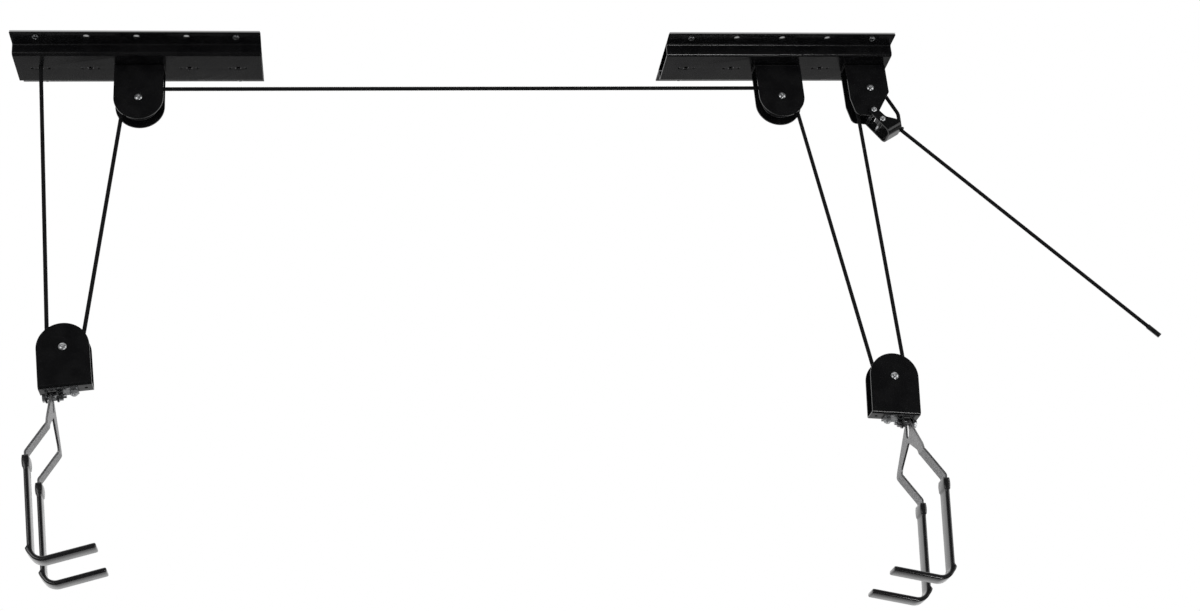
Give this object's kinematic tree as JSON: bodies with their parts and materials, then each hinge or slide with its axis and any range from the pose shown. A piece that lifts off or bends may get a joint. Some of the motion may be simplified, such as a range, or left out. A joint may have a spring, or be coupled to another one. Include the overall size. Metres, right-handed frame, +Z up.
{
  "type": "ceiling mounted pulley rack",
  "caption": "Ceiling bicycle hoist: hat-section brackets carry rope pulleys and a rope lock, and one rope lifts hook blocks with double sheet-steel hooks.",
  "frame": {"origin": "on the ceiling plane, midway between the two brackets, on the rope's plane", "axes": "+X from the plain bracket to the bracket with the rope lock, +Y across the brackets, +Z up"},
  "size_m": [1.3225, 0.1096, 0.7107],
  "materials": {
    "black_coat": "gloss black powder coat",
    "zinc": "bright zinc plate",
    "black_nylon": "black moulded nylon, satin",
    "hook_steel": "grey metallic coat on sheet steel, fine speckle",
    "vinyl": "black dipped vinyl, soft gloss",
    "rope_braid": "black braided polyester rope"
  },
  "bodies": {
    "root": {"left_bracket": "black_coat", "left_screw_outer_front": "zinc", "left_screw_outer_rear": "zinc", "left_screw_inner_front": "zinc", "left_screw_inner_rear": "zinc", "right_bracket": "black_coat", "right_screw_outer_front": "zinc", "right_screw_outer_rear": "zinc", "right_screw_inner_front": "zinc", "right_screw_inner_rear": "zinc", "left_top_housing": "black_coat", "left_top_axle": "zinc", "left_top_rivet": "zinc", "right_top_housing": "black_coat", "right_top_axle": "zinc", "right_top_rivet": "zinc", "lock_housing": "black_coat", "lock_axle": "zinc", "lock_rivet": "zinc", "lock_guide_pin": "black_coat", "lock_arm_pivot": "zinc", "rope_start_knot": "rope_braid", "rope_left_outer_fall": "rope_braid", "rope_left_inner_fall": "rope_braid", "rope_overhead_run": "rope_braid", "rope_right_inner_fall": "rope_braid", "rope_right_outer_fall": "rope_braid", "rope_lock_turn": "rope_braid", "rope_lock_lead": "rope_braid"},
    "left_top_sheave_body": {"left_top_sheave": "black_nylon"},
    "right_top_sheave_body": {"right_top_sheave": "black_nylon"},
    "lock_sheave_body": {"lock_sheave": "black_nylon"},
    "lock_arm_body": {"lock_arm": "black_coat", "lock_arm_cross_pin": "zinc", "rope_tail": "rope_braid", "rope_end_sleeve": "vinyl"},
    "left_lift": {"left_hook_axle": "zinc", "rope_left_hook_turn": "rope_braid"},
    "left_hook_sheave_body": {"left_hook_sheave": "black_nylon"},
    "left_block": {"left_hook_housing": "black_coat", "left_hanger": "zinc", "left_hanger_bolt": "zinc", "left_hook_bolt": "zinc", "left_hook_nut": "zinc", "left_hook_bush": "zinc"},
    "left_hook": {"left_double_hook": "hook_steel", "left_sleeve_front": "vinyl", "left_sleeve_rear": "vinyl"},
    "right_lift": {"right_hook_axle": "zinc", "rope_right_hook_turn": "rope_braid"},
    "right_hook_sheave_body": {"right_hook_sheave": "black_nylon"},
    "right_block": {"right_hook_housing": "black_coat", "right_hanger": "zinc", "right_hanger_bolt": "zinc", "right_hook_bolt": "zinc", "right_hook_nut": "zinc", "right_hook_bush": "zinc"},
    "right_hook": {"right_double_hook": "hook_steel", "right_sleeve_front": "vinyl", "right_sleeve_rear": "vinyl"}
  },
  "joints": [
    {"name": "left_hoist", "type": "slide", "parent": "root", "child": "left_lift", "axis": [0, 0, 1], "range_m": [-1.5, 0.2], "deforming": ["rope_left_outer_fall", "rope_left_inner_fall"]},
    {"name": "right_hoist", "type": "slide", "parent": "root", "child": "right_lift", "axis": [0, 0, 1], "range_m": [-1.5, 0.2], "deforming": ["rope_right_inner_fall", "rope_right_outer_fall"]},
    {"name": "left_top_sheave_turn", "type": "hinge", "parent": "root", "child": "left_top_sheave_body", "pos_m": [-0.38, 0, -0.0618], "axis": [0, 1, 0], "continuous": true},
    {"name": "right_top_sheave_turn", "type": "hinge", "parent": "root", "child": "right_top_sheave_body", "pos_m": [0.38, 0, -0.0618], "axis": [0, 1, 0], "continuous": true},
    {"name": "lock_sheave_turn", "type": "hinge", "parent": "root", "child": "lock_sheave_body", "pos_m": [0.492, 0, -0.051], "axis": [0, 1, 0], "continuous": true},
    {"name": "lock_arm_swing", "type": "hinge", "parent": "root", "child": "lock_arm_body", "pos_m": [0.4915, 0, -0.0834], "axis": [0, 1, 0], "range_deg": [-20, 12], "deforming": ["rope_lock_lead"]},
    {"name": "left_hook_sheave_turn", "type": "hinge", "parent": "left_lift", "child": "left_hook_sheave_body", "pos_m": [-0.4516, 0, -0.372], "axis": [0, 1, 0], "continuous": true},
    {"name": "left_block_tilt", "type": "hinge", "parent": "left_lift", "child": "left_block", "pos_m": [-0.4516, 0, -0.372], "axis": [0, 1, 0], "range_deg": [-25, 25]},
    {"name": "left_hook_swing", "type": "hinge", "parent": "left_block", "child": "left_hook", "pos_m": [-0.46197, 0, -0.42576], "axis": [0.9959, 0, 0.0906], "range_deg": [-25, 25]},
    {"name": "right_hook_sheave_turn", "type": "hinge", "parent": "right_lift", "child": "right_hook_sheave_body", "pos_m": [0.466, 0, -0.431], "axis": [0, 1, 0], "continuous": true},
    {"name": "right_block_tilt", "type": "hinge", "parent": "right_lift", "child": "right_block", "pos_m": [0.466, 0, -0.431], "axis": [0, 1, 0], "range_deg": [-25, 25]},
    {"name": "right_hook_swing", "type": "hinge", "parent": "right_block", "child": "right_hook", "pos_m": [0.47646, 0, -0.48474], "axis": [0.996, 0, -0.0889], "range_deg": [-25, 25]}
  ],
  "couplings": [
    {"joint": "right_hoist", "follows": "left_hoist", "ratio": 1},
    {"joint": "left_hook_sheave_turn", "follows": "left_hoist", "rad_per_m": -57.143},
    {"joint": "left_top_sheave_turn", "follows": "left_hoist", "rad_per_m": 114.29},
    {"joint": "right_top_sheave_turn", "follows": "left_hoist", "rad_per_m": 114.29},
    {"joint": "right_hook_sheave_turn", "follows": "left_hoist", "rad_per_m": -171.43},
    {"joint": "lock_sheave_turn", "follows": "left_hoist", "rad_per_m": 228.57}
  ]
}
